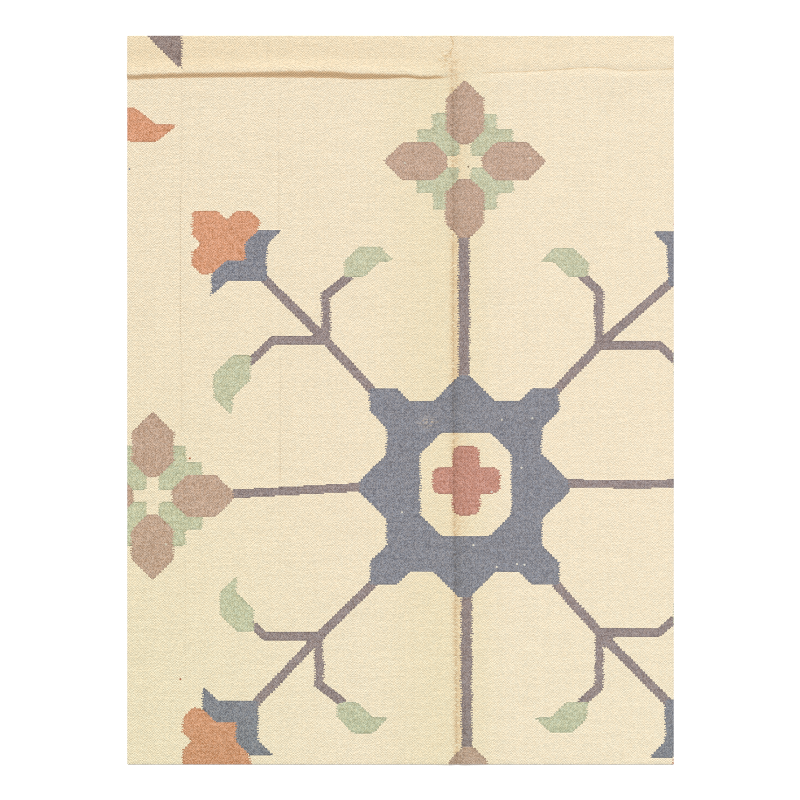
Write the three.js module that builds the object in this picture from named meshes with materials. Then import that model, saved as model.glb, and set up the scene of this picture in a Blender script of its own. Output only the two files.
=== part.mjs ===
// A cut length of flat-woven cotton rug, lying face up on a floor.
// Millimetres. +X runs to the right across the rug, +Y runs to its far end, +Z is up.
// The origin is on the floor, under the middle of the rug.
import * as THREE from "three";

// Driving sizes of the cloth.
const rugWidth = 750;
const rugLength = 1000;
const clothThickness = 3;

// The far crease, in rows from the left edge of the rug to the right one.
// On the left the cloth stands up as a fold that leans towards the near end.
// On the right it is only pressed in as a shallow trough.
//   x         place across the rug
//   line      how far along the rug the crease lies: the foot of the fold, or the bottom of the trough
//   run       depth of the steep near side of the fold, seen from above
//   rise      height of the top of the fold above the floor
//   shoulder  height of the swelling on each side of the trough
const farCrease = [
  { x: -375, line: 440.6, run: 7.5, rise: 4.6, shoulder: 0 },
  { x: -296, line: 442.0, run: 7.5, rise: 4.8, shoulder: 0 },
  { x: -206, line: 442.0, run: 8.0, rise: 5.4, shoulder: 0 },
  { x: -138, line: 441.6, run: 10.0, rise: 6.6, shoulder: 0 },
  { x: -97, line: 441.2, run: 10.0, rise: 6.4, shoulder: 0 },
  { x: -69, line: 440.2, run: 8.5, rise: 5.4, shoulder: 0 },
  { x: -20, line: 439.8, run: 7.0, rise: 4.0, shoulder: 0 },
  { x: 6, line: 441.6, run: 6.0, rise: 3.2, shoulder: 0 },
  { x: 27, line: 440.0, run: 6.0, rise: 2.8, shoulder: 0 },
  { x: 46, line: 441.4, run: 6.0, rise: 1.5, shoulder: 0 },
  { x: 68, line: 442.6, run: 6.0, rise: 0, shoulder: 0 },
  { x: 104, line: 449.0, run: 6.0, rise: 0, shoulder: 0 },
  { x: 132, line: 449.2, run: 6.0, rise: 0, shoulder: 0.9 },
  { x: 198, line: 452.0, run: 6.0, rise: 0, shoulder: 0.8 },
  { x: 268, line: 456.2, run: 6.0, rise: 0, shoulder: 1.1 },
  { x: 310, line: 452.0, run: 6.0, rise: 0, shoulder: 0.9 },
  { x: 375, line: 454.5, run: 6.0, rise: 0, shoulder: 0.9 },
];

// The long crease down the rug, in rows from its near end to its far end.
//   y         place along the rug
//   line      how far to the right of the middle the crease lies
//   shoulder  height of the swelling on each side of it
const longCrease = [
  { y: -500, line: 77.5, shoulder: 1.0 },
  { y: -240, line: 75.5, shoulder: 1.1 },
  { y: -50, line: 73.4, shoulder: 1.3 },
  { y: 150, line: 72.7, shoulder: 1.2 },
  { y: 400, line: 72.0, shoulder: 1.0 },
  { y: 460, line: 71.0, shoulder: 0.8 },
  { y: 476, line: 68.9, shoulder: 0.8 },
  { y: 488, line: 72.3, shoulder: 0.8 },
  { y: 500, line: 68.6, shoulder: 0.8 },
];

// Behind the top of the fold the cloth falls back to the floor in one low ripple.
const foldBack = 16; // from the top of the fold to the dip behind it
const dipHeight = 0.3;
const rippleBack = 20; // from the dip to the top of the ripple
const rippleHeight = 1.2;
const rippleEnd = 16; // from the top of the ripple to the floor again

// A trough is a soft V between two swellings that die away from it.
const troughReach = 9; // from the bottom of the trough to the top of each swelling
const troughSoftness = 1.8; // how far across its bottom is rounded
const leastLift = 0.02; // less than this is no lift: the cloth lies flat

// Where the sections stand: distances from each crease, and the spans beyond them.
const acrossLongCrease = [-42, -28, -18, -9, -3, 0, 3, 9, 18, 28, 42];
const acrossFarCrease = [-30, -18, -9, -3, 0, 2, 4, 6, 8, 10, 13, 17, 21, 26, 34, 44];
const leftSpans = 14;
const rightSpans = 9;
const nearSpans = 8;
const longCreasePlace = 73; // the crease's usual place, which its sections are set out from
const farCreasePlace = 443;
const fullFollow = 26; // sections this near a crease follow its line in full
const noFollow = 56; // sections this far from it keep straight

// A smooth value between the rows of a table, through each of them.
function rowValue(table, key, at, column) {
  const last = table.length - 1;
  const next = table.findIndex((row) => row[key] > at);
  if (next === -1) return table[last][column];
  if (next === 0) return table[0][column];
  const a = table[next - 1];
  const b = table[next];
  const before = table[Math.max(next - 2, 0)];
  const after = table[Math.min(next + 1, last)];
  const span = b[key] - a[key];
  const slopeA = (b[column] - before[column]) / (b[key] - before[key]);
  const slopeB = (after[column] - a[column]) / (after[key] - a[key]);
  const t = (at - a[key]) / span;
  const t2 = t * t;
  const t3 = t2 * t;
  return (
    (2 * t3 - 3 * t2 + 1) * a[column] +
    (t3 - 2 * t2 + t) * span * slopeA +
    (3 * t2 - 2 * t3) * b[column] +
    (t3 - t2) * span * slopeB
  );
}

// A soft step from one height to another as d goes from 0 to run.
function softStep(d, run, from, to) {
  return from + (to - from) * THREE.MathUtils.smoothstep(d, 0, run);
}

// The fold that stands up on the left: steep on its near side, then down to the dip and over the ripple.
function foldLift(x, y) {
  const rise = Math.max(rowValue(farCrease, "x", x, "rise"), 0);
  const tallest = Math.max(...farCrease.map((row) => row.rise));
  const share = rise / tallest;
  const run = rowValue(farCrease, "x", x, "run");
  const d = y - rowValue(farCrease, "x", x, "line");
  if (d < run) return softStep(d, run, 0, rise);
  const behind = d - run;
  if (behind < foldBack) return softStep(behind, foldBack, rise, dipHeight * share);
  const beyond = behind - foldBack;
  if (beyond < rippleBack) {
    return softStep(beyond, rippleBack, dipHeight, rippleHeight) * share;
  }
  return softStep(beyond - rippleBack, rippleEnd, rippleHeight, 0) * share;
}

// A trough at distance d from its bottom, between two swellings of this height.
function troughLift(d, shoulder) {
  const away = (Math.hypot(d, troughSoftness) - troughSoftness) / troughReach;
  return shoulder * away * Math.exp(1 - away);
}

// Height of the underside of the cloth above the floor.
function liftAt(x, y) {
  const farShoulder = Math.max(rowValue(farCrease, "x", x, "shoulder"), 0);
  const farTrough = troughLift(y - rowValue(farCrease, "x", x, "line"), farShoulder);
  const longShoulder = rowValue(longCrease, "y", y, "shoulder");
  const longTrough = troughLift(x - rowValue(longCrease, "y", y, "line"), longShoulder);
  const lift = foldLift(x, y) + farTrough + longTrough;
  return lift < leastLift ? 0 : lift;
}
// Evenly spaced places from one value up to, but not with, another.
function spanPlaces(from, to, spans) {
  return Array.from({ length: spans }, (_, i) => from + ((to - from) * i) / spans);
}

// The places of the sections across and along the rug, before they follow the creases.
function sectionPlaces() {
  const long = acrossLongCrease.map((d) => longCreasePlace + d);
  const far = acrossFarCrease.map((d) => farCreasePlace + d);
  return {
    across: [
      ...spanPlaces(-rugWidth / 2, long[0], leftSpans),
      ...long,
      ...spanPlaces(rugWidth / 2, long.at(-1), rightSpans).reverse(),
    ],
    along: [
      ...spanPlaces(-rugLength / 2, far[0], nearSpans),
      ...far,
      rugLength / 2,
    ],
  };
}

// How far a section at distance d from a crease follows its line, from 1 down to 0.
function followShare(d) {
  return 1 - THREE.MathUtils.smoothstep(Math.abs(d), fullFollow, noFollow);
}

// A point in the middle of the cloth's thickness, and the way the cloth faces there.
function clothPoint(across, along) {
  const longMove = rowValue(longCrease, "y", along, "line") - longCreasePlace;
  const x = across + longMove * followShare(across - longCreasePlace);
  const farMove = rowValue(farCrease, "x", x, "line") - farCreasePlace;
  const y = along + farMove * followShare(along - farCreasePlace);
  const step = 0.25;
  const slopeX = (liftAt(x + step, y) - liftAt(x - step, y)) / (2 * step);
  const slopeY = (liftAt(x, y + step) - liftAt(x, y - step)) / (2 * step);
  const onSide = Math.abs(across) === rugWidth / 2;
  const onEnd = Math.abs(along) === rugLength / 2;
  return {
    middle: new THREE.Vector3(x, y, liftAt(x, y) + clothThickness / 2),
    facing: new THREE.Vector3(onSide ? 0 : -slopeX, onEnd ? 0 : -slopeY, 1).normalize(),
  };
}

// The cloth as one closed sheet: its face, its underside and the cut edge between them.
function clothGeometry() {
  const { across, along } = sectionPlaces();
  const columns = across.length;
  const rows = along.length;
  const points = along.flatMap((v) => across.map((u) => clothPoint(u, v)));
  const sides = [clothThickness / 2, -clothThickness / 2];
  const vertices = sides.flatMap((offset) =>
    points.flatMap(({ middle, facing }) =>
      middle.clone().addScaledVector(facing, offset).toArray(),
    ),
  );
  const face = (column, row) => row * columns + column;
  const under = (column, row) => face(column, row) + columns * rows;
  const triangles = [];
  const addQuad = (a, b, c, d) => triangles.push(a, b, c, a, c, d);
  for (let row = 0; row + 1 < rows; row += 1) {
    for (let column = 0; column + 1 < columns; column += 1) {
      addQuad(
        face(column, row),
        face(column + 1, row),
        face(column + 1, row + 1),
        face(column, row + 1),
      );
      addQuad(
        under(column, row),
        under(column, row + 1),
        under(column + 1, row + 1),
        under(column + 1, row),
      );
    }
  }
  const addEdge = (from, to) => addQuad(under(...from), under(...to), face(...to), face(...from));
  for (let column = 0; column + 1 < columns; column += 1) {
    addEdge([column, 0], [column + 1, 0]);
    addEdge([column + 1, rows - 1], [column, rows - 1]);
  }
  for (let row = 0; row + 1 < rows; row += 1) {
    addEdge([columns - 1, row], [columns - 1, row + 1]);
    addEdge([0, row + 1], [0, row]);
  }
  const geometry = new THREE.BufferGeometry();
  geometry.setAttribute("position", new THREE.Float32BufferAttribute(vertices, 3));
  geometry.setIndex(triangles);
  geometry.computeVertexNormals();
  return geometry;
}

// Undyed cotton, matt all over.
const cotton = new THREE.MeshStandardMaterial({
  color: 0xf1e1c5,
  roughness: 0.95,
  metalness: 0,
});

const rug = new THREE.Group();
const cloth = new THREE.Mesh(clothGeometry(), cotton);
cloth.name = "woven_cloth";
rug.add(cloth);

export default rug;
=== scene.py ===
# A cut length of flat-woven cotton rug, lying face up on a pale floor.
import math

import bpy
import numpy as np
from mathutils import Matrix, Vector


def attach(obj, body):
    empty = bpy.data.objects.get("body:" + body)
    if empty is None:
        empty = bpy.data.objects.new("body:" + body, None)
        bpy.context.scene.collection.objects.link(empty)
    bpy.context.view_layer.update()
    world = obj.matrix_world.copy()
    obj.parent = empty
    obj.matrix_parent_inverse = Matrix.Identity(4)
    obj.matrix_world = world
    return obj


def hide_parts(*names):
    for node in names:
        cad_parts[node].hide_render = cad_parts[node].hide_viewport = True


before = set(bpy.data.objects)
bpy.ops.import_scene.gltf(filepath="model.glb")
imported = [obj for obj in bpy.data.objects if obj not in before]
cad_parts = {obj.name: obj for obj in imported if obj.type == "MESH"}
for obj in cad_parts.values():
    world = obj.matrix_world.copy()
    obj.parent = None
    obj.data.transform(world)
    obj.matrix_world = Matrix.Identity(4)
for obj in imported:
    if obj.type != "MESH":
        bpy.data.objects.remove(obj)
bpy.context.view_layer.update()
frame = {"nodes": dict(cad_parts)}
mm = 0.001  # sizes below are in millimetres, and are multiplied by this where Blender needs metres
print("frame loaded:", ", ".join(frame["nodes"]))


# Camera, light and floor

studio = {
    "pictureWidth": 1097.6,  # what the picture takes in across the face of the rug
    "pictureCentreX": -0.7,
    "faceHeight": 3.0,  # of the rug's face, which the camera's distance is measured from
    "lens": 85.0,
    "sensor": 36.0,
    "floorSize": 60000.0,
    "floorColour": 0.905,
    "floorRoughness": 0.9,
    "floorGloss": 0.1,
    "skyStrength": 0.64,
    "keyStrength": 2.2,
    "keyHeight": 60.0,  # degrees above the floor
    "keySpread": 16.0,  # degrees that the key light takes up in the sky, for soft shadows
    "keyTurn": 4.0,  # degrees that it stands to the left of the rug's far end
    "keyAway": 2.0,  # metres, only so that its marker stands clear of the rug
    "pixelFilter": 1.0,
}


def selectOnly(thing):
    bpy.ops.object.select_all(action="DESELECT")
    thing.select_set(True)
    bpy.context.view_layer.objects.active = thing


def addCamera():
    camera = bpy.data.objects.new("overheadCamera", bpy.data.cameras.new("overheadCamera"))
    bpy.context.scene.collection.objects.link(camera)
    camera.data.lens = studio["lens"]
    camera.data.sensor_width = studio["sensor"]
    distance = studio["pictureWidth"] * studio["lens"] / studio["sensor"]
    camera.location = (studio["pictureCentreX"] * mm, 0.0, (distance + studio["faceHeight"]) * mm)
    bpy.context.scene.camera = camera


def addLight():
    key = bpy.data.objects.new("keyLight", bpy.data.lights.new("keyLight", "SUN"))
    bpy.context.scene.collection.objects.link(key)
    key.data.energy = studio["keyStrength"]
    key.data.angle = math.radians(studio["keySpread"])
    height = math.radians(studio["keyHeight"])
    turn = math.radians(studio["keyTurn"])
    towards = Vector((-math.sin(turn), math.cos(turn), math.tan(height)))
    key.rotation_euler = (-towards).to_track_quat("-Z", "Y").to_euler()
    key.location = towards * studio["keyAway"]
    world = bpy.data.worlds.new("studioSky")
    world.use_nodes = True
    sky = world.node_tree.nodes["Background"]
    sky.inputs["Color"].default_value = (1.0, 1.0, 1.0, 1.0)
    sky.inputs["Strength"].default_value = studio["skyStrength"]
    bpy.context.scene.world = world
    bpy.context.scene.view_settings.view_transform = "Standard"
    # a narrow pixel filter and no denoising, because both would smear the stitches
    bpy.context.scene.cycles.filter_width = studio["pixelFilter"]
    bpy.context.scene.cycles.use_denoising = False


def addFloor():
    bpy.ops.object.select_all(action="DESELECT")
    bpy.ops.mesh.primitive_plane_add(size=studio["floorSize"] * mm)
    floor = bpy.context.object
    floor.name = "floor"
    paint = bpy.data.materials.new("floorPaint")
    paint.use_nodes = True
    shader = paint.node_tree.nodes["Principled BSDF"]
    shader.inputs["Base Color"].default_value = (*[studio["floorColour"]] * 3, 1.0)
    shader.inputs["Roughness"].default_value = studio["floorRoughness"]
    shader.inputs["Specular IOR Level"].default_value = studio["floorGloss"]
    floor.data.materials.append(paint)


addCamera()
addLight()
addFloor()
print("studio ready")


# The folds that the cloth lies in

cloth = {
    "width": 750.0,
    "length": 1000.0,
    "thickness": 3.0,
    # from one place to another in so many cells, which are finer at the creases
    "columns": ((-375, 58, 98), (58, 90, 16), (90, 375, 65)),
    "rows": ((-500, 428, 206), (428, 456, 21), (456, 500, 22)),
    "longPlace": 73.0,  # the finer columns and rows are set out from here, and follow their crease
    "farPlace": 443.0,
    "follow": 12.0,  # how near a crease they follow it in full
    "followFade": 40.0,
    "rimRound": 0.9,
    "rimSteps": 2,
    "rimAngle": 55.0,  # degrees: sharper edges than this are rounded
    "smoothAngle": 38.0,
}

# The far crease, in columns from the left edge to the right one. On the left it is a fold that leans
# towards the near end, and on the right a shallow trough.
#   line: how far along the rug it lies, run: depth of the fold's steep side seen from above
#   rise: height of the fold, shoulder: height of the swelling on each side of the trough
farCrease = {
    "x": (-375, -296, -206, -138, -97, -69, -20, 6, 27, 46, 64, 82, 104, 132, 198, 268, 310, 375),
    "line": (440.2, 442.6, 443.2, 442.8, 442.4, 440.9, 441, 442.8, 440.8, 441.2, 442.8, 445, 449,
             449.2, 452, 456.2, 452, 454.5),
    "run": (6.8, 6.8, 7.4, 9, 9, 8.5, 7, 5, 5, 5, 5, 6, 6, 6, 6, 6, 6, 6),
    "rise": (4.3, 4.4, 4.7, 5.8, 5.8, 5.4, 4.6, 3.8, 3.2, 2.6, 1.2, 0, 0, 0, 0, 0, 0, 0),
    "shoulder": (0, 0, 0, 0, 0, 0, 0, 0, 0, 0, 0, 0, 0, 1.2, 1.1, 1.4, 1.2, 1.2),
}

# The long crease, in rows from the near end to the far one. It is a shallow trough all the way.
longCrease = {
    "y": (-500, -240, -50, 150, 400, 460, 476, 488, 500),
    "line": (77.5, 75.5, 73.4, 72.7, 72, 71, 68.9, 72.3, 68.6),
    "shoulder": (1, 1.1, 1.3, 1.2, 1, 0.8, 0.8, 0.8, 0.8),
}

folds = {
    "foldBack": 20.0,  # from the top of the fold to the dip behind it
    "dipHeight": 0.3,
    "rippleBack": 20.0,  # from the dip to the top of the low ripple behind it
    "rippleHeight": 0.9,
    "rippleEnd": 16.0,
    "troughReach": 9.0,  # from the bottom of a trough to the top of each swelling
    "troughSoftness": 1.8,
    "bandRise": 2.4,  # the fold's height at which the dark band under it has its full depth
    "leastLift": 0.02,  # less than this is no lift: the cloth lies flat
}

# Small puckers where the two creases cross. Each is a short soft ridge.
puckers = (
    {"x": 57.0, "y": 469.0, "turn": 18.0, "length": 8.0, "width": 3.2, "height": 0.9},
    {"x": 75.0, "y": 466.0, "turn": -24.0, "length": 7.0, "width": 3.2, "height": 0.8},
    {"x": 63.0, "y": 478.0, "turn": 52.0, "length": 8.0, "width": 3.4, "height": 0.9},
    {"x": 79.0, "y": 481.0, "turn": 82.0, "length": 10.0, "width": 4.0, "height": 0.7},
    {"x": 60.0, "y": 457.0, "turn": 74.0, "length": 11.0, "width": 3.8, "height": 0.6},
    {"x": 84.0, "y": 452.0, "turn": 8.0, "length": 10.0, "width": 3.0, "height": 0.6},
)


def tableValue(table, key, column, at):
    # a smooth value through the table's columns, level beyond both ends
    keys = np.array(table[key], float)
    values = np.array(table[column], float)
    at = np.clip(at, keys[0], keys[-1])
    following = np.clip(np.searchsorted(keys, at, side="right"), 1, len(keys) - 1)
    a, b = following - 1, following
    before, after = np.maximum(a - 1, 0), np.minimum(b + 1, len(keys) - 1)
    span = keys[b] - keys[a]
    slopeA = (values[b] - values[before]) / (keys[b] - keys[before])
    slopeB = (values[after] - values[a]) / (keys[after] - keys[a])
    t = (at - keys[a]) / span
    return ((2 * t**3 - 3 * t**2 + 1) * values[a] + (t**3 - 2 * t**2 + t) * span * slopeA
            + (3 * t**2 - 2 * t**3) * values[b] + (t**3 - t**2) * span * slopeB)


def softStep(d, run, start, end):
    t = np.clip(d / run, 0, 1)
    return start + (end - start) * t * t * (3 - 2 * t)


def foldLift(x, y):
    rise = np.maximum(tableValue(farCrease, "x", "rise", x), 0)
    share = rise / max(farCrease["rise"])
    run = tableValue(farCrease, "x", "run", x)
    d = y - tableValue(farCrease, "x", "line", x)
    behind = d - run
    beyond = behind - folds["foldBack"]
    last = beyond - folds["rippleBack"]
    dip, ripple = folds["dipHeight"] * share, folds["rippleHeight"] * share
    return np.where(
        behind < 0, softStep(d, run, 0, rise), np.where(
            beyond < 0, softStep(behind, folds["foldBack"], rise, dip), np.where(
                last < 0, softStep(beyond, folds["rippleBack"], dip, ripple),
                softStep(last, folds["rippleEnd"], ripple, 0))))


def bandDepth(x):
    # how deep the dark band under the fold is, down to nothing where the fold ends
    rise = np.maximum(tableValue(farCrease, "x", "rise", x), 0)
    return tableValue(farCrease, "x", "run", x) * np.clip(rise / folds["bandRise"], 0, 1)


def troughLift(d, shoulder):
    away = (np.hypot(d, folds["troughSoftness"]) - folds["troughSoftness"]) / folds["troughReach"]
    return shoulder * away * np.exp(1 - away)


def puckerLift(x, y):
    total = np.zeros_like(x)
    for ridge in puckers:
        turn = math.radians(ridge["turn"])
        along = (x - ridge["x"]) * math.cos(turn) + (y - ridge["y"]) * math.sin(turn)
        across = (y - ridge["y"]) * math.cos(turn) - (x - ridge["x"]) * math.sin(turn)
        total += ridge["height"] * np.exp(-(along / ridge["length"])**2 - (across / ridge["width"])**2)
    return np.where(total < folds["leastLift"], 0, total)


def clothLift(x, y):
    # height of the underside above the floor
    farTrough = troughLift(y - tableValue(farCrease, "x", "line", x),
                           np.maximum(tableValue(farCrease, "x", "shoulder", x), 0))
    longTrough = troughLift(x - tableValue(longCrease, "y", "line", y),
                            tableValue(longCrease, "y", "shoulder", y))
    lift = foldLift(x, y) + farTrough + longTrough + puckerLift(x, y)
    return np.where(lift < folds["leastLift"], 0, lift)


# The woven design, in millimetres from the middle of the rug. Each motif is drawn from a few sizes, as
# on a weaver's chart: it is the same on both sides of its middle lines, and where an edge slants it
# steps sideways by as much as it steps along, which the outlines below work out.

medallion = {
    "centre": (87.5, -120.0),
    "reach": (144.0, 152.0),  # from the middle to the ends of its side points and its far points
    "pointHalf": 7.5,
    "valley": (106.5, 117.0),  # from the middle to the flats between the points and the corner lobes
    "flatEnd": (75.0, 80.0),  # where a flat ends at its lobe
    "lobe": (130.0, 135.0),
    "starShift": (0.0, 1.2),
    "windowHalf": (62.5, 70.5),
    "windowCorner": 29.0,  # how much is cut off the window's corners
    "windowShift": (2.0, 4.5),
    "rosetteReach": (46.5, 47.5),
    "rosetteHalf": (18.5, 18.0),  # half the width of its lobes
    "rosetteRound": 10.0,
    "rosetteShift": (2.5, 9.5),
}

# Straight stems from the medallion to the flowers, each from one end of its middle line to the other.
axisStems = (
    {"start": (87.0, 226.0), "end": (87.0, 28.0), "width": 15.2},
    {"start": (90.5, -268.0), "end": (90.5, -475.0), "width": 15.2},
    {"start": (226.0, -115.0), "end": (377.0, -115.0), "width": 12.0},
    {"start": (-232.0, -129.0), "end": (-54.0, -119.5), "width": 12.0},
)

# Flowers of four pointed petals and four sepals. Petals start, reach and have their root and half width
# as given, and one is cut off square where the stem joins it. A sepal has two square arms.
flowers = (
    {
        "centre": (88.3, 327.3), "stemmed": (0, -1), "stemHalf": 7.6,
        "start": 24.0, "rootHalf": 8.0, "half": 26.5, "reach": 112.0, "sepalScale": 1.0,
    },
    {
        "centre": (-340.0, -131.5), "stemmed": (1, 0), "stemHalf": 6.0,
        "start": 26.0, "rootHalf": 8.0, "half": 29.0, "reach": 116.0, "sepalScale": 1.04,
    },
    {
        "centre": (93.0, -580.5), "stemmed": (0, 1), "stemHalf": 7.6,
        "start": 24.0, "rootHalf": 8.0, "half": 26.5, "reach": 112.0, "sepalScale": 1.0,
    },
)
sepal = {"gap": 8.0, "knee": 24.0, "arm": 44.0, "reach": 66.0}

# The sprays at the medallion's four corners. Their places are distances from its centre, out to the
# side and out along the rug, and the sign says which corner. Each has a branch to a far leaf and one
# to a side leaf, which bend in towards the leaves at those distances from them.
sprays = (
    {
        "sign": (-1, 1), "fork": (190.0, 202.0), "end": (275.0, 287.0), "bloom": (1.04, 0.97),
        "farLeaf": (158.0, 289.0), "sideLeaf": (293.0, 173.0), "leafSizes": (1.0, 1.2),
        "bends": (25.0, 30.0),
    },
    {
        "sign": (1, 1), "fork": (185.0, 195.0), "end": (283.0, 281.0), "bloom": (1.04, 1.03),
        "farLeaf": (163.0, 289.0), "sideLeaf": (288.0, 176.0), "leafSizes": (0.95, 1.1),
        "bends": (20.0, 20.0),
    },
    {
        "sign": (-1, -1), "fork": (199.0, 204.0), "end": (287.0, 297.0), "bloom": (1.05, 1.03),
        "farLeaf": (167.0, 295.0), "sideLeaf": (289.0, 190.0), "leafSizes": (1.0, 1.1),
        "bends": (25.0, 15.0),
    },
    {
        "sign": (1, -1), "fork": (185.0, 199.0), "end": (280.0, 295.0), "bloom": (1.1, 1.1),
        "farLeaf": (162.0, 294.0), "sideLeaf": (287.0, 182.0), "leafSizes": (1.03, 1.05),
        "bends": (20.0, 20.0),
    },
)
spray = {
    "start": (126.0, 133.0),
    "stemWidth": 12.5,
    "farWidth": 12.5,
    "sideWidth": 11.5,
}
leaf = {  # in steps of the chart
    "step": 7.0,
    "back": -1,  # how far its back lies behind the end of its twig
    "round": 3,
    "length": 9,
    "width": 6,
    "belly": 3,
    "tip": 3,
}
calyx = {"inner": 25.0, "outer": -4.0, "reach": 69.0, "tip": -25.0, "cut": 19.0}
blossom = {"root": 20.0, "edge": 4.0, "reach": 95.0, "corner": 14.0, "lobe": 37.0, "notch": 12.0}

# What shows of two more motifs that the cut edges cross.
cutLeaf = {"end": (-393.0, 401.0), "scale": (1.4, -1.1)}
cutStem = {"tip": (-300.0, 452.0), "size": 53.0}

farAway = 1e9  # more than any distance on the rug


def outlineDistance(points, outline):
    outline = np.array(outline, float)
    nearest = np.full(len(points), farAway)
    inside = np.zeros(len(points), bool)
    for start, end in zip(outline, np.roll(outline, -1, axis=0)):
        side = end - start
        offset = points - start
        along = np.clip(offset @ side / (side @ side), 0, 1)
        nearest = np.minimum(nearest, np.hypot(*(offset - along[:, None] * side).T))
        if start[1] != end[1]:
            crosses = (start[1] > points[:, 1]) != (end[1] > points[:, 1])
            edgeX = start[0] + (points[:, 1] - start[1]) * side[0] / side[1]
            inside ^= crosses & (points[:, 0] < edgeX)
    return np.where(inside, nearest, -nearest)


def strokeDistance(points, path, width):
    nearest = np.full(len(points), farAway)
    for start, end in zip(np.array(path[:-1], float), np.array(path[1:], float)):
        side = end - start
        offset = points - start
        along = np.clip(offset @ side / (side @ side), 0, 1)
        nearest = np.minimum(nearest, np.hypot(*(offset - along[:, None] * side).T))
    return width / 2 - nearest


def roundedBarDistance(points, centre, half, corner):
    away = np.abs(points - np.array(centre)) - np.array(half) + corner
    outside = np.hypot(*np.maximum(away, 0).T)
    return corner - outside - np.minimum(away.max(axis=1), 0)


def union(distances):
    return np.max(list(distances), axis=0)


def moved(outline, centre, scale=(1, 1)):
    return [(centre[0] + x * scale[0], centre[1] + y * scale[1]) for x, y in outline]


def allRound(quarter):
    right = quarter + [(x, -y) for x, y in reversed(quarter)]
    return right + [(-x, y) for x, y in reversed(right)]


def bothArms(half):
    # half an outline from corner to corner, and the same on the other side of its diagonal
    return half + [(y, x) for x, y in reversed(half[1:-1])]


def starOutline():
    (reachX, reachY), (valleyX, valleyY) = medallion["reach"], medallion["valley"]
    (flatX, flatY), (lobeX, lobeY) = medallion["flatEnd"], medallion["lobe"]
    point = medallion["pointHalf"]
    quarter = [
        (point, reachY), (point + reachY - valleyY, valleyY), (flatX, valleyY),
        (flatX + lobeY - valleyY, lobeY), (lobeX, lobeY), (lobeX, flatY + lobeX - valleyX),
        (valleyX, flatY), (valleyX, point + reachX - valleyX), (reachX, point),
    ]
    return moved(allRound(quarter), inMedallion("starShift"))


def inMedallion(shift):
    return tuple(c + s for c, s in zip(medallion["centre"], medallion[shift]))


def windowOutline():
    (halfX, halfY), corner = medallion["windowHalf"], medallion["windowCorner"]
    quarter = [(halfX - corner, halfY), (halfX, halfY - corner)]
    return moved(allRound(quarter), inMedallion("windowShift"))


def rosetteDistance(points):
    centre, corner = inMedallion("rosetteShift"), medallion["rosetteRound"]
    (reachX, reachY), (halfX, halfY) = medallion["rosetteReach"], medallion["rosetteHalf"]
    return union((roundedBarDistance(points, centre, (reachX, halfY), corner),
                  roundedBarDistance(points, centre, (halfX, reachY), corner)))


def petalOutlines(flower):
    start, root, half, reach = (flower[name] for name in ("start", "rootHalf", "half", "reach"))
    for outX, outY in ((0, 1), (1, 0), (0, -1), (-1, 0)):
        tip = flower["stemHalf"] if (outX, outY) == flower["stemmed"] else 1.0
        edge = [(start, root), (start + half - root, half), (reach - half, half), (reach - tip, tip)]
        shape = edge + [(out, -width) for out, width in reversed(edge)]
        yield moved([(out * outX + width * outY, out * outY + width * outX)
                     for out, width in shape], flower["centre"])


def sepalOutlines(flower):
    gap, knee, arm, reach = (sepal[name] for name in ("gap", "knee", "arm", "reach"))
    half = [(gap, gap), (gap, arm - knee + gap), (knee, arm), (knee, reach), (arm, reach), (arm, arm)]
    size = flower["sepalScale"]
    for signX in (-1, 1):
        for signY in (-1, 1):
            yield moved(bothArms(half), flower["centre"], (signX * size, signY * size))


def inSpray(place, outline):
    return moved(outline, medallion["centre"], place["sign"])


def sprayStems(place):
    fork, far, side = place["fork"], place["farLeaf"], place["sideLeaf"]
    farBend, sideBend = place["bends"]
    return {
        "stem": (spray["start"], fork, place["end"]),
        "far": (fork, (fork[0], far[1] - farBend), far),
        "side": (fork, (side[0] - sideBend, fork[1]), side),
    }


def leafOutline():
    # along the leaf from the end of its twig, and out to its full side
    back, corner, length, width, belly, tip = (
        leaf[name] * leaf["step"] for name in ("back", "round", "length", "width", "belly", "tip"))
    return [(back, 0), (back, width - corner), (back + corner, width),
            (length - width + tip, width), (length, tip), (belly + tip, tip), (belly, 0)]


def leafOutlines(place):
    (farX, farY), (sideX, sideY), (far, side) = place["farLeaf"], place["sideLeaf"], place["leafSizes"]
    yield inSpray(place, [(farX - along * far, farY + out * far) for along, out in leafOutline()])
    yield inSpray(place, [(sideX + out * side, sideY - along * side) for along, out in leafOutline()])


def calyxOutline():
    inner, outer, reach, tip, cut = (calyx[name] for name in ("inner", "outer", "reach", "tip", "cut"))
    return bothArms([(inner, inner), (inner, reach - cut), (inner - cut, reach), (tip, reach),
                     (outer, reach + tip - outer), (outer, outer)])


def blossomOutline():
    root, edge, reach, corner = (blossom[name] for name in ("root", "edge", "reach", "corner"))
    lobe, notch = blossom["lobe"], blossom["notch"]
    return bothArms([(root, root), (edge, reach - corner), (edge + corner, reach), (lobe, reach),
                     (lobe + notch, reach - notch), (lobe + 2 * notch, reach), (reach, reach)])


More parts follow.
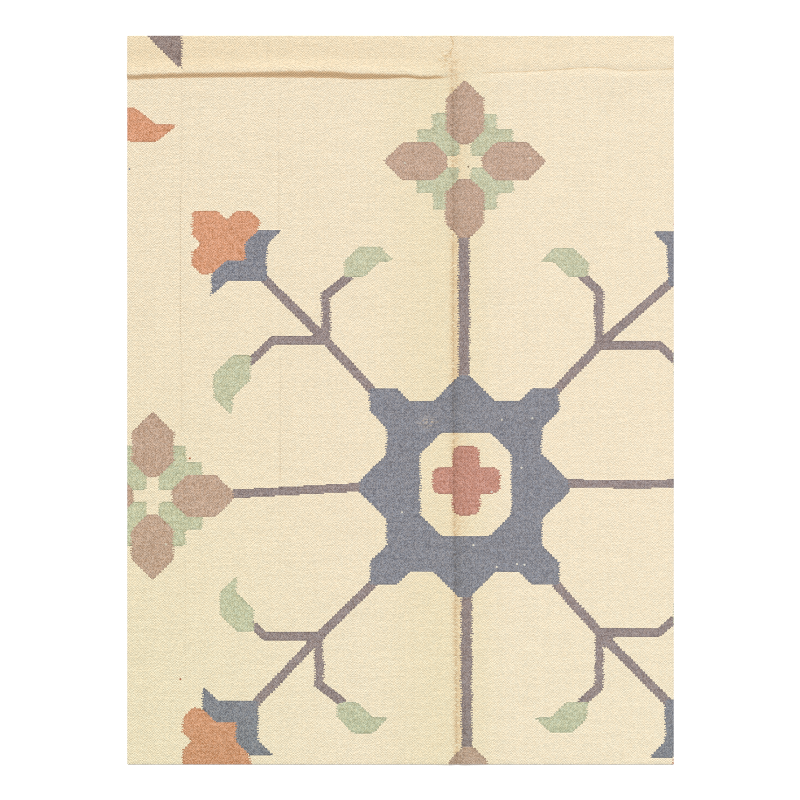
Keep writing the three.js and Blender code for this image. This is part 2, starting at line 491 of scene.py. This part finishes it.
def designDistances(points):
    # how far each point is inside each colour of the design
    stems = [strokeDistance(points, (s["start"], s["end"]), s["width"]) for s in axisStems]
    green = [outlineDistance(points, o) for flower in flowers for o in sepalOutlines(flower)]
    mauve = [outlineDistance(points, o) for flower in flowers for o in petalOutlines(flower)]
    star = outlineDistance(points, starOutline())
    blue = [np.minimum(star, -outlineDistance(points, windowOutline()))]
    orange = [outlineDistance(points, moved(leafOutline(), cutLeaf["end"], cutLeaf["scale"]))]
    for place in sprays:
        for name, path in sprayStems(place).items():
            stems.append(strokeDistance(points, inSpray(place, path), spray[name + "Width"]))
        green += [outlineDistance(points, o) for o in leafOutlines(place)]
        for outline, parts in ((calyxOutline(), blue), (blossomOutline(), orange)):
            bloom = moved(outline, place["end"], place["bloom"])
            parts.append(outlineDistance(points, inSpray(place, bloom)))
    (tipX, tipY), size = cutStem["tip"], cutStem["size"]
    corners = [(tipX, tipY), (tipX - size, tipY + size), (tipX, tipY + size)]
    stems.append(outlineDistance(points, corners))
    return {
        "stem": union(stems),
        "green": union(green),
        "mauve": union(mauve),
        "orange": union(orange),
        "blue": union(blue),
        "rose": rosetteDistance(points),
    }


# The cloth's mesh

def stations(spans):
    places = [np.linspace(start, end, cells, endpoint=False) for start, end, cells in spans]
    return np.append(np.concatenate(places), spans[-1][1])


def setAttribute(mesh, name, values):
    attribute = mesh.attributes.new(name, "FLOAT_VECTOR", "POINT")
    attribute.data.foreach_set("vector", np.ascontiguousarray(values, np.float32).ravel())


def storeDesign(mesh, x, y):
    # beside each distance goes the way in which it grows, so that a material can ask for the colour
    # at the middle of the stitch that a point belongs to
    points = np.stack([x, y], axis=1)
    step = 0.5
    here = designDistances(points)
    right = designDistances(points + (step, 0))
    further = designDistances(points + (0, step))
    for name, distance in here.items():
        growth = ((right[name] - distance) / step, (further[name] - distance) / step)
        setAttribute(mesh, name + "Edge", np.stack([*growth, distance], axis=1))


def meshPlaces():
    # where the mesh's columns and rows cross, with those near a crease moved to follow it
    across, along = np.meshgrid(stations(cloth["columns"]), stations(cloth["rows"]), indexing="ij")
    offLong, offFar = across - cloth["longPlace"], along - cloth["farPlace"]
    move = tableValue(longCrease, "y", "line", along) - cloth["longPlace"]
    x = across + move * softStep(np.abs(offLong) - cloth["follow"], cloth["followFade"], 1, 0)
    move = tableValue(farCrease, "x", "line", x) - cloth["farPlace"]
    y = along + move * softStep(np.abs(offFar) - cloth["follow"], cloth["followFade"], 1, 0)
    return x, y


def layCloth():
    across, along = meshPlaces()
    columns, rows = across.shape[0] - 1, across.shape[1] - 1
    bpy.ops.object.select_all(action="DESELECT")
    bpy.ops.mesh.primitive_grid_add(x_subdivisions=columns, y_subdivisions=rows, size=2.0)
    rug = bpy.context.object
    rug.name = "wovenRug"
    mesh = rug.data
    flat = np.empty(len(mesh.vertices) * 3)
    mesh.vertices.foreach_get("co", flat)
    flat = flat.reshape(-1, 3)
    column = np.rint((flat[:, 0] + 1) / 2 * columns).astype(int)
    row = np.rint((flat[:, 1] + 1) / 2 * rows).astype(int)
    x, y = across[column, row], along[column, row]
    lift = clothLift(x, y)
    middle = np.stack([x, y, lift + cloth["thickness"] / 2], axis=1) * mm
    mesh.vertices.foreach_set("co", middle.ravel())

    # how far along the cloth each point is, over the folds
    height = np.zeros((columns + 1, rows + 1))
    height[column, row] = lift
    steps = np.hypot(np.diff(along, axis=1), np.diff(height, axis=1))
    overFolds = np.concatenate([np.zeros((columns + 1, 1)), np.cumsum(steps, axis=1)], axis=1)
    clothY = overFolds[column, row]
    flatLength = float(overFolds[:, -1].max())
    steps = np.hypot(np.diff(across, axis=0), np.diff(height, axis=0))
    flatWidth = float(steps.sum(axis=0).mean())

    uv = mesh.uv_layers.active or mesh.uv_layers.new()
    uv.name = "clothPlace"
    corners = np.empty(len(mesh.loops), int)
    mesh.loops.foreach_get("vertex_index", corners)
    place = np.stack([(x + cloth["width"] / 2) / cloth["width"], clothY / cloth["length"]], axis=1)
    uv.data.foreach_set("uv", place[corners].astype(np.float32).ravel())
    storeDesign(mesh, x, y)
    creases = np.stack([y - tableValue(farCrease, "x", "line", x),
                        x - tableValue(longCrease, "y", "line", y),
                        bandDepth(x)], axis=1)
    setAttribute(mesh, "creases", creases)
    mesh.update()
    return rug, (flatWidth * mm, flatLength * mm)


def thickenCloth(rug):
    selectOnly(rug)
    solidify = rug.modifiers.new("thickness", "SOLIDIFY")
    solidify.thickness = cloth["thickness"] * mm
    solidify.offset = 0.0
    rim = rug.modifiers.new("cutEdge", "BEVEL")
    rim.width = cloth["rimRound"] * mm
    rim.segments = cloth["rimSteps"]
    rim.limit_method = "ANGLE"
    rim.angle_limit = math.radians(cloth["rimAngle"])
    for name in ("thickness", "cutEdge"):
        bpy.ops.object.modifier_apply(modifier=name)
    bpy.ops.object.shade_smooth_by_angle(angle=math.radians(cloth["smoothAngle"]))


rug, flatSize = layCloth()
thickenCloth(rug)
print("cloth laid:", len(rug.data.polygons), "faces, flat size", [round(n, 4) for n in flatSize])


# The yarn

yarn = {
    "warpPitch": 1.78,  # from one warp to the next, under the weft
    "pickPitch": 1.75,  # from one row of weft to the next
    "reedHalf": 0.9,  # half the width of a reed line
    "rowWave": 0.35,  # how far the rows wander, in rows
    "rowWaveScale": 0.012,  # scales are in turns of the noise for each millimetre
    "toothDepth": 2.0,  # how far one row reaches past the next at the upright edge of a colour
    "unevenEnds": 2.0,  # how far a row's turn strays from that
    "endStretch": 24.0,  # along the row, from one such chance to the next
    "upright": (0.4, 0.95),  # how much of an edge's slope is sideways where teeth begin and are full
    "edgeWander": 2.4,  # how far the edge itself wanders
    "edgeWanderScale": 0.04,
    "strayReach": (0.9, 1.9),  # a stray stitch is solid to here and gone there
    "gapShadeLeft": 0.3,  # painted shade: how dark the yarn is where stitches meet, at the left edge and at the right one
    "gapShadeRight": 0.08,
    "dyedGapShade": 0.7,  # how much of that painted shade shows in dyed yarn
    "fleckSize": 1.2,  # fibres that catch the light, as painted glints
    "fleckLeft": 0.19,  # how unlike each other they are, at the left edge and at the right one
    "fleckRight": 0.165,
    "fleckContrast": 0.5,  # how much an undyed fleck is unlike the one beyond it
    "stitchSpread": 0.02,
    "rowSpread": 0.031,
    "rowStretch": 38.0,  # along the row, from one lightness of the yarn to the next
    "warpSpread": 0.013,
    "cloudSpread": 0.005,
    "cloudScale": 0.03,
    "hueSpread": 0.0335,
    "dyedHue": 0.67,  # how much more that shows in dyed yarn
    "dyedSpread": 1.55,  # how much more all the others show in it
    "whiteness": 0.5,  # how much of the painted light and shade on the fibres is white, and not the yarn's own colour
    "whiteLight": 0.42,
    "edgeShade": 0.2,  # how much darker a dyed row is at its turn
    "edgeShine": 0.07,  # how much lighter the undyed yarn is beside it
    "edgeReach": 2.6,
    "lightLeft": 1.02,  # how light the cloth is at the left edge and at the right one
    "lightRight": 0.965,
    "reliefDepth": 0.33,
    "fleckRelief": 0.3,  # how much of that a fleck stands out
    "roughness": 0.95,
    "gloss": 0.2,
    "sheen": 0.1,
    "sheenRoughness": 0.6,
}

# Colours of the yarn, of its dirt and of the painted shades, in the light, as red, green and blue out
# of 255.
yarnColoursAndShades = {
    "cream": (235, 221, 194),
    "stem": (149, 135, 133),
    "green": (192, 193, 163),
    "mauve": (189, 161, 142),
    "orange": (210, 153, 121),
    "blue": (135, 135, 142),
    "rose": (192, 140, 124),
    "tan": (231, 206, 168),
    "brownFoldShadow": (231, 197, 159),
    "creaseDirtAndShade": (243, 230, 218),
    "creaseLineDirtAndShade": (226, 215, 205),
    "dyedCreaseDirtAndShade": (235, 234, 231),
    "straw": (253, 248, 239),
    "soil": (252, 254, 248),
    "nearSoil": (253, 255, 254),
    "nearDye": (247, 250, 247),
    "oldFold": (251, 251, 243),
    "pale": (216, 210, 194),
    "red": (176, 108, 88),
    "dark": (146, 130, 112),
    "reed": (158, 128, 94),
}

# Stitches of another yarn, each at its place on the rug.
strayStitches = {
    "pale": ((100, -199), (160, -225), (170, -226), (132, -229), (139, -27), (181, -25), (2, -154),
             (166, -93), (125, -126), (178, 332), (6, 325), (-322, -198), (307, 96), (-141, -117)),
    "red": ((-302, -383), (-289, -80)),
    "blue": ((-372, 317),),
    "dark": ((93, 320),),
}

# Faint dotted lines along the warp, where the reed left a wider space. Each is at x from one place
# along the rug to another.
reedLines = (
    {"x": -300.0, "far": 440.0, "near": 280.0, "share": 0.16},
    {"x": -302.0, "far": 280.0, "near": 80.0, "share": 0.4},
    {"x": -300.0, "far": 80.0, "near": -40.0, "share": 0.2},
    {"x": -295.0, "far": -220.0, "near": -380.0, "share": 0.14},
    {"x": -167.0, "far": 400.0, "near": 240.0, "share": 0.2},
    {"x": -165.0, "far": 60.0, "near": -60.0, "share": 0.2},
    {"x": -165.0, "far": -60.0, "near": -110.0, "share": 0.35},
)

# Dirt in the cloth, and painted shade under the far fold and down the long crease. A place, a start and
# an end are in millimetres, and each pair says where a mark begins and where it is full or has died
# away, in the order in which they come.
stainsAndShades = {
    "blotScale": 0.05,
    "smallScale": 0.2,
    "speckScale": 0.45,
    # dirt and painted shade down the long crease, at distances from it
    "coreShare": 0.55,
    "corePlace": 1.0,
    "coreFade": (1.5, 8.0),
    "wideShare": 0.45,
    "wideLeft": (-12.0, 2.0),
    "wideRight": (4.0, 26.0),
    "farEnd": (420.0, 490.0),  # where the long stains grow faint, to this much less
    "farEndLoss": 0.9,
    "blotty": 1.3,  # how uneven they are, in blots, small ones and specks
    "smallBlotty": 1.6,
    "speckled": 4.0,
    "longShare": 1.0,
    "linePlace": -0.6,
    "lineFade": (0.5, 2.4),
    "lineShare": 0.35,
    "lineSpeckled": 2.5,
    "broadLeft": (-150.0, -12.0),
    "broadRight": (12.0, 75.0),
    "broadShare": 1.0,
    "broadDyedLoss": 0.85,
    # soil over wide parts of the rug
    "farSoil": 1.0,
    "farSoilFade": (440.0, 466.0),
    "farSoilRightLoss": 0.8,
    "leftSoil": 1.0,
    "leftSoilFade": (0.0, 0.5),  # in widths of the rug
    "leftSoilFarFade": (-330.0, 300.0),
    "nearSoilFade": (-440.0, -80.0),
    "nearDyeFade": (-470.0, -400.0),
    # a worn place in the star, wider than it is long: distances along the rug are stretched for it
    "wornStretch": 1.6,
    "wornPlace": (38.0, -50.0),  # across, and along in stretched millimetres
    "wornFade": (2.0, 20.0),
    "wornShare": 0.6,
    "wornSpeckled": 3.0,
    "wornBase": 0.1,
    # the loose thread at the far end of the long crease, and the blots where the creases cross
    "threadFade": (0.5, 1.7),
    "threadStart": (462.0, 476.0),
    "threadShare": 0.5,
    "threadBlotty": 3.0,
    "crossingPlace": (63.0, 467.0),
    "crossingReach": 22.0,
    "crossingBlots": (-0.05, 0.2),
    "crossingShare": 0.7,
    # a painted brown shadow under the fold at the far crease, and a tan line in the trough that carries
    # on to the right
    "foldShadowShare": 0.75,
    "footWave": 1.0,
    "footWaveScale": 0.09,
    "footStart": (-1.4, 0.2),
    "footEnd": (-2.5, 0.5),
    "footDepth": (0.5, 4.5),
    "troughShare": 0.4,
    "troughFade": (0.5, 1.6),
    "troughStart": (90.0, 125.0),
}


def linearColour(name):
    shares = [c / 255 for c in yarnColoursAndShades[name]]
    return (*[((c + 0.055) / 1.055) ** 2.4 if c > 0.04045 else c / 12.92 for c in shares], 1.0)


class Wire:
    # a value in a material's nodes, so that shader maths reads as Python

    def __init__(self, tree, socket=None):
        self.tree = tree
        self.socket = socket

    def node(self, kind, settings=None, inputs=None, output=0):
        made = self.tree.nodes.new(kind)
        for name, value in (settings or {}).items():
            setattr(made, name, value)
        for name, value in (inputs or {}).items():
            if isinstance(value, Wire):
                self.tree.links.new(value.socket, made.inputs[name])
            else:
                made.inputs[name].default_value = value
        return Wire(self.tree, made.outputs[output])

    def maths(self, operation, *values):
        return self.node("ShaderNodeMath", {"operation": operation}, dict(enumerate(values)))

    def __add__(self, other):
        return self.maths("ADD", self, other)

    def __sub__(self, other):
        return self.maths("SUBTRACT", self, other)

    def __mul__(self, other):
        return self.maths("MULTIPLY", self, other)

    def __truediv__(self, other):
        return self.maths("DIVIDE", self, other)

    def __gt__(self, other):
        return self.maths("GREATER_THAN", self, other)

    def __lt__(self, other):
        return self.maths("LESS_THAN", self, other)

    def __rsub__(self, other):
        return self.maths("SUBTRACT", other, self)

    __radd__ = __add__
    __rmul__ = __mul__

    def floor(self):
        return self.maths("FLOOR", self)

    def wave(self, turns):
        # the cosine of this many turns of self
        return self.maths("COSINE", self * (2 * math.pi * turns))

    def size(self):
        return self.maths("ABSOLUTE", self)

    def least(self, other):
        return self.maths("MINIMUM", self, other)

    def most(self, other):
        return self.maths("MAXIMUM", self, other)

    def vector(self, x, y, z=0.0):
        return self.node("ShaderNodeCombineXYZ", None, {"X": x, "Y": y, "Z": z})

    def parts(self):
        split = self.node("ShaderNodeSeparateXYZ", None, {"Vector": self}).socket.node
        return [Wire(self.tree, split.outputs[name]) for name in "XYZ"]

    def attribute(self, name):
        return self.node("ShaderNodeAttribute", {"attribute_name": name}, None, "Vector")

    def fade(self, start, end):
        # 0 at start and 1 at end, soft between
        return self.node("ShaderNodeMapRange", {"interpolation_type": "SMOOTHSTEP"},
                         {"Value": self, "From Min": start, "From Max": end})

    def mix(self, share, first, second, blend="MIX"):
        return self.node("ShaderNodeMix", {"data_type": "RGBA", "blend_type": blend},
                         {0: share, 6: first, 7: second}, 2)

    def shade(self, colour, amount):
        return self.node("ShaderNodeVectorMath", {"operation": "SCALE"}, {0: colour, "Scale": amount})

    def light(self, colour, amount, white, whiteness):
        # more or less painted light on a colour, part of it white; a negative amount paints shade
        lit = self.mix(whiteness, colour, (white, white, white, 1.0))
        return self.node("ShaderNodeVectorMath", {"operation": "MULTIPLY_ADD"},
                         {0: lit, 1: amount, 2: colour})

    def tint(self, colour, amounts):
        return self.node("ShaderNodeVectorMath", {"operation": "MULTIPLY"}, {0: colour, 1: amounts})

    def distance(self, place, point):
        return self.node("ShaderNodeVectorMath", {"operation": "DISTANCE"},
                         {0: place, 1: (*point, 0.0)}, "Value")

    def noise(self, place, scale, detail=1.0):
        # soft noise about 0, from near -0.5 to near 0.5
        return self.node("ShaderNodeTexNoise", {"noise_dimensions": "2D"},
                         {"Vector": place, "Scale": scale, "Detail": detail}) - 0.5

    def chance(self, x, y):
        # a random number from -0.5 to 0.5 for each whole x and y
        return self.node("ShaderNodeTexWhiteNoise", {"noise_dimensions": "2D"},
                         {"Vector": self.vector(x, y)}) - 0.5


def findStitch(wire, across, along):
    # the stitch that a point belongs to: each is two warps wide and one row deep, and every second
    # row is moved over by one warp
    wander = wire.noise(wire.vector(across, along), yarn["rowWaveScale"]) * (2 * yarn["rowWave"])
    rowPlace = along / yarn["pickPitch"] + wander
    row = rowPlace.floor()
    place = across / (2 * yarn["warpPitch"]) + row * 0.5
    column = place.floor()
    return {
        "row": row,
        "odd": row * 0.5 - (row * 0.5).floor(),
        "column": column,
        "halfColumn": (place * 2.0).floor(),
        "right": place - column - 0.5,
        "up": rowPlace - row - 0.5,
    }


def dyeStitches(wire, stitch, across, along):
    # the colour of each stitch, how far it is inside the dyed areas, and 1 where it is dyed
    endChance = wire.chance(stitch["row"], (across / yarn["endStretch"]).floor())
    wander = wire.noise(wire.vector(across, along), yarn["edgeWanderScale"], 2.0)
    # odd is a half in every second row and nothing in the others
    tooth = ((stitch["odd"] - 0.25) * (2 * yarn["toothDepth"]) + endChance * yarn["unevenEnds"]
             + wander * (2 * yarn["edgeWander"]))
    colour, depth = linearColour("cream"), None
    for name in ("stem", "green", "mauve", "orange", "blue", "rose"):
        growX, growY, here = wire.attribute(name + "Edge").parts()
        upright = growX * growX.size().fade(*yarn["upright"])
        inside = here - growY * stitch["up"] * yarn["pickPitch"] + upright * tooth
        colour = wire.mix(inside > 0, colour, linearColour(name))
        depth = inside if depth is None else depth.most(inside)
    return colour, depth, depth > 0


def addStrays(wire, colour, x, y):
    for name, places in strayStitches.items():
        nearest = None
        for place in places:
            distance = wire.distance(wire.vector(x, y), place)
            nearest = distance if nearest is None else nearest.least(distance)
        colour = wire.mix(1 - nearest.fade(*yarn["strayReach"]), colour, linearColour(name))
    return colour


def addReedLines(wire, colour, stitch, x, y):
    share = None
    for line in reedLines:
        dot = ((x - line["x"]).size() < yarn["reedHalf"]) * (y < line["far"]) * (y > line["near"])
        dot = dot * line["share"]
        share = dot if share is None else share + dot
    return wire.mix(share * (stitch["odd"] * 2.0), colour, linearColour("reed"))


# multiplies a colour in: a stain, and in some places a painted shade
def multiplyTint(wire, share, colour, name):
    return wire.mix(share, colour, linearColour(name), "MULTIPLY")


def stainAndShadeLongCrease(wire, colour, dyed, y, long, noises):
    blot, small, speck = noises
    lengthwise = 1 - y.fade(*stainsAndShades["farEnd"]) * stainsAndShades["farEndLoss"]
    # dirt and painted shade, strongest just to the right of the crease, with a wider soft band to the
    # right of that
    core = 1 - (long - stainsAndShades["corePlace"]).size().fade(*stainsAndShades["coreFade"])
    wide = long.fade(*stainsAndShades["wideLeft"]) * (1 - long.fade(*stainsAndShades["wideRight"]))
    uneven = (1.0 + blot * stainsAndShades["blotty"] + small * stainsAndShades["smallBlotty"]
              + speck * stainsAndShades["speckled"])
    share = (core * stainsAndShades["coreShare"] + wide * stainsAndShades["wideShare"]) * lengthwise * uneven
    creaseDirtAndShade = wire.mix(dyed, linearColour("creaseDirtAndShade"), linearColour("dyedCreaseDirtAndShade"))
    colour = wire.mix(share * stainsAndShades["longShare"], colour, creaseDirtAndShade, "MULTIPLY")
    # a narrow line of dirt and painted shade in the crease itself
    line = (1 - (long - stainsAndShades["linePlace"]).size().fade(*stainsAndShades["lineFade"])) * lengthwise
    share = line * (stainsAndShades["lineShare"] + speck * stainsAndShades["lineSpeckled"])
    colour = multiplyTint(wire, share, colour, "creaseLineDirtAndShade")
    # and the yellowed cloth on both sides of it
    broad = long.fade(*stainsAndShades["broadLeft"]) * (1 - long.fade(*stainsAndShades["broadRight"]))
    share = broad * (1 - dyed * stainsAndShades["broadDyedLoss"]) * lengthwise * stainsAndShades["broadShare"]
    return multiplyTint(wire, share, colour, "oldFold")


def soilCloth(wire, colour, dyed, u, y):
    # at the far end, along the left of the near half, and at the near end
    share = y.fade(*stainsAndShades["farSoilFade"]) * (1.0 - u * stainsAndShades["farSoilRightLoss"]) * stainsAndShades["farSoil"]
    colour = multiplyTint(wire, share, colour, "straw")
    share = ((1 - u.fade(*stainsAndShades["leftSoilFade"])) * (1 - y.fade(*stainsAndShades["leftSoilFarFade"]))
             * stainsAndShades["leftSoil"])
    colour = multiplyTint(wire, share, colour, "soil")
    colour = multiplyTint(wire, 1 - y.fade(*stainsAndShades["nearSoilFade"]), colour, "nearSoil")
    return multiplyTint(wire, (1 - y.fade(*stainsAndShades["nearDyeFade"])) * dyed, colour, "nearDye")


def stainAndShadeCloth(wire, colour, dyed, u, x, y):
    far, long, band = wire.attribute("creases").parts()
    place = wire.vector(x, y)
    blot = wire.noise(place, stainsAndShades["blotScale"], 2.0)
    small = wire.noise(place, stainsAndShades["smallScale"], 2.0)
    speck = wire.noise(place, stainsAndShades["speckScale"])
    colour = stainAndShadeLongCrease(wire, colour, dyed, y, long, (blot, small, speck))
    colour = soilCloth(wire, colour, dyed, u, y)
    away = wire.distance(wire.vector(x, y * stainsAndShades["wornStretch"]), stainsAndShades["wornPlace"])
    share = ((1 - away.fade(*stainsAndShades["wornFade"]))
             * (speck * stainsAndShades["wornSpeckled"] + stainsAndShades["wornBase"]) * stainsAndShades["wornShare"])
    colour = wire.mix(share, colour, linearColour("tan"))
    thread = (1 - long.size().fade(*stainsAndShades["threadFade"])) * y.fade(*stainsAndShades["threadStart"])
    share = thread * (stainsAndShades["threadShare"] + small * stainsAndShades["threadBlotty"])
    colour = multiplyTint(wire, share, colour, "tan")
    away = wire.distance(place, stainsAndShades["crossingPlace"])
    blots = (1 - away.fade(0.0, stainsAndShades["crossingReach"])) * small.fade(*stainsAndShades["crossingBlots"])
    colour = multiplyTint(wire, blots * stainsAndShades["crossingShare"], colour, "tan")
    # painted brown shadow along the foot of the fold, where the fold hides the light
    wave = wire.noise(wire.vector(x, 3.0), stainsAndShades["footWaveScale"], 2.0)
    foot = far + wave * (2 * stainsAndShades["footWave"])
    under = (foot.fade(*stainsAndShades["footStart"]) * (1 - (foot - band).fade(*stainsAndShades["footEnd"]))
             * band.fade(*stainsAndShades["footDepth"]))
    colour = multiplyTint(wire, under * stainsAndShades["foldShadowShare"], colour, "brownFoldShadow")
    trough = (1 - far.size().fade(*stainsAndShades["troughFade"])) * x.fade(*stainsAndShades["troughStart"])
    return multiplyTint(wire, trough * (stainsAndShades["troughShare"] + blot), colour, "tan")


def cottonMaterial():
    material = bpy.data.materials.new("wovenCotton")
    material.use_nodes = True
    tree = material.node_tree
    shader = tree.nodes["Principled BSDF"]
    shader.inputs["Roughness"].default_value = yarn["roughness"]
    shader.inputs["Specular IOR Level"].default_value = yarn["gloss"]
    shader.inputs["Sheen Weight"].default_value = yarn["sheen"]
    shader.inputs["Sheen Roughness"].default_value = yarn["sheenRoughness"]
    wire = Wire(tree)

    u, v, _ = wire.node("ShaderNodeUVMap", {"uv_map": "clothPlace"}).parts()
    across, along = u * cloth["width"], v * cloth["length"]
    stitch = findStitch(wire, across, along)
    colour, depth, dyed = dyeStitches(wire, stitch, across, along)

    # the middle of the stitch, from the middle of the rug
    x = (stitch["column"] - stitch["row"] * 0.5 + 0.5) * (2 * yarn["warpPitch"]) - cloth["width"] / 2
    y = along - stitch["up"] * yarn["pickPitch"] - cloth["length"] / 2
    ownX, ownY = across - cloth["width"] / 2, along - cloth["length"] / 2
    colour = addReedLines(wire, addStrays(wire, colour, ownX, ownY), stitch, ownX, ownY)

    # painted shade between stitches: they are bright in the middle and dark where their ends dip under
    # a warp
    dome = stitch["right"].wave(1.0) * stitch["up"].wave(0.5)
    gap = (0.5 - dome * 0.5) * (yarn["gapShadeLeft"] + u * (yarn["gapShadeRight"] - yarn["gapShadeLeft"]))
    gap = gap * (1 - dyed * (1 - yarn["dyedGapShade"]))

    # random tone of the yarn, with painted glints where fibres catch the light
    spread = 1 + dyed * (yarn["dyedSpread"] - 1)
    fleckColumn, fleckRow = (across / yarn["fleckSize"]).floor(), (along / yarn["fleckSize"]).floor()
    fleck = (wire.chance(fleckColumn, fleckRow)
             - wire.chance(fleckColumn, fleckRow + 1) * ((1 - dyed) * yarn["fleckContrast"]))
    fleckSpread = yarn["fleckLeft"] + u * (yarn["fleckRight"] - yarn["fleckLeft"])
    uneven = (fleck * 2 * fleckSpread
              + wire.chance(stitch["column"], stitch["row"]) * (2 * yarn["stitchSpread"])
              + wire.chance((across / yarn["rowStretch"]).floor(), stitch["row"] + 0.5)
              * (2 * yarn["rowSpread"])
              + wire.chance((across / yarn["warpPitch"]).floor(), 3.0) * (2 * yarn["warpSpread"])
              + wire.noise(wire.vector(across, along), yarn["cloudScale"], 3.0)
              * (2 * yarn["cloudSpread"]))
    colour = wire.light(colour, uneven * spread - gap, yarn["whiteLight"], yarn["whiteness"])
    edge = (1 - depth.fade(0.0, yarn["edgeReach"])) * dyed * -yarn["edgeShade"]
    beside = depth.fade(-yarn["edgeReach"], 0.0) * (1 - dyed) * yarn["edgeShine"]
    hue = (wire.chance(stitch["halfColumn"] + 0.5, stitch["row"]) * (yarn["hueSpread"] * 2)
           * (1 + dyed * yarn["dyedHue"]))
    colour = wire.shade(wire.tint(colour, wire.vector(1 + hue, 1.0, 1 - hue)),
                        (1 + edge + beside)
                        * (yarn["lightLeft"] + u * (yarn["lightRight"] - yarn["lightLeft"])))
    colour = stainAndShadeCloth(wire, colour, dyed, u, x, y)
    tree.links.new(colour.socket, shader.inputs["Base Color"])

    relief = wire.node("ShaderNodeBump", None, {
        "Height": dome + fleck * yarn["fleckRelief"],
        "Distance": yarn["reliefDepth"] * mm,
        "Strength": 1.0,
    })
    tree.links.new(relief.socket, shader.inputs["Normal"])
    return material


rug.data.materials.clear()
rug.data.materials.append(cottonMaterial())
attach(rug, "root")
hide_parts("woven_cloth")
print("cloth dyed and woven")
